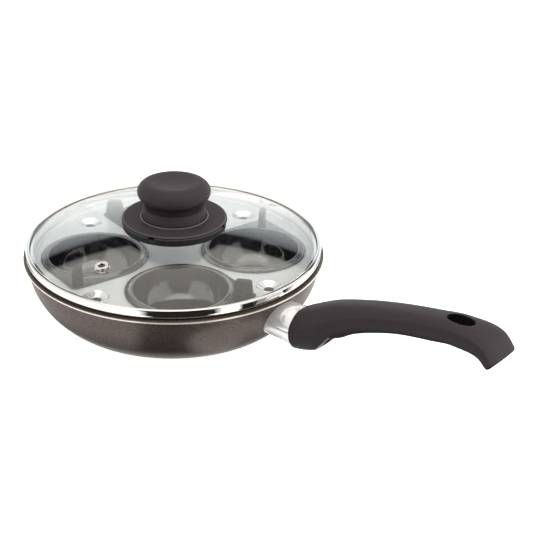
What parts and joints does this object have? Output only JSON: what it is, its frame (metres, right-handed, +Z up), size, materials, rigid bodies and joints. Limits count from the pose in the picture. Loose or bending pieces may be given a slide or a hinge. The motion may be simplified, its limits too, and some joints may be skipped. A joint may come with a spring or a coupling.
{
  "type": "egg poacher pan",
  "caption": "Shallow round pan with a long curved handle, a lift-out tray of egg cups with upright grips, and a domed glass lid with a steel band, steam eyelet and knob.",
  "frame": {"origin": "centre of the flat base, on the table", "axes": "+Z up along the pan's axis, +X along the handle, away from the pan"},
  "size_m": [0.3674, 0.208, 0.0905],
  "materials": {
    "pan_coating": "bronze-brown metallic coating outside, dark non-stick inside",
    "bracket_metal": "bare cast metal",
    "polished_steel": "polished",
    "tray_steel": "satin stainless sheet",
    "cup_coating": "dark non-stick coating",
    "grip_plastic": "moulded, smooth",
    "rivet_metal": "bare",
    "handle_plastic": "fine satin moulded",
    "screw_steel": "plated",
    "lid_glass": "clear, tempered",
    "insert_brass": "turned",
    "seal_rubber": "matte"
  },
  "bodies": {
    "pan": {"pan_body": "pan_coating", "handle_stud": "bracket_metal", "ferrule": "polished_steel", "handle": "handle_plastic", "handle_washer": "screw_steel", "handle_screw": "screw_steel"},
    "tray": {"tray": "tray_steel"},
    "cup_1": {"cup_1": "cup_coating", "cup_grip_1": "grip_plastic", "grip_rivet_1": "rivet_metal"},
    "cup_2": {"cup_2": "cup_coating", "cup_grip_2": "grip_plastic", "grip_rivet_2": "rivet_metal"},
    "cup_3": {"cup_3": "cup_coating", "cup_grip_3": "grip_plastic", "grip_rivet_3": "rivet_metal"},
    "cup_4": {"cup_4": "cup_coating", "cup_grip_4": "grip_plastic", "grip_rivet_4": "rivet_metal"},
    "lid": {"lid_glass": "lid_glass", "lid_band": "polished_steel", "vent_eyelet": "polished_steel", "vent_collar": "polished_steel", "knob": "handle_plastic", "knob_insert": "insert_brass", "knob_guard": "handle_plastic", "knob_seal": "seal_rubber", "lid_seal": "seal_rubber", "clamp_washer": "screw_steel", "knob_screw": "screw_steel"}
  },
  "joints": [
    {"name": "tray_lift", "type": "slide", "parent": "pan", "child": "tray", "axis": [0, 0, 1], "range_m": [0, 0.06]},
    {"name": "lid_lift", "type": "slide", "parent": "tray", "child": "lid", "axis": [0, 0, 1], "range_m": [0, 0.1]},
    {"name": "cup_lift_1", "type": "slide", "parent": "tray", "child": "cup_1", "axis": [0, 0, 1], "range_m": [0, 0.04]},
    {"name": "cup_lift_2", "type": "slide", "parent": "tray", "child": "cup_2", "axis": [0, 0, 1], "range_m": [0, 0.04]},
    {"name": "cup_lift_3", "type": "slide", "parent": "tray", "child": "cup_3", "axis": [0, 0, 1], "range_m": [0, 0.04]},
    {"name": "cup_lift_4", "type": "slide", "parent": "tray", "child": "cup_4", "axis": [0, 0, 1], "range_m": [0, 0.04]}
  ],
  "couplings": [
    {"joint": "cup_lift_1", "follows": "lid_lift", "ratio": 0.4},
    {"joint": "cup_lift_2", "follows": "lid_lift", "ratio": 0.4},
    {"joint": "cup_lift_3", "follows": "lid_lift", "ratio": 0.4},
    {"joint": "cup_lift_4", "follows": "lid_lift", "ratio": 0.4}
  ]
}
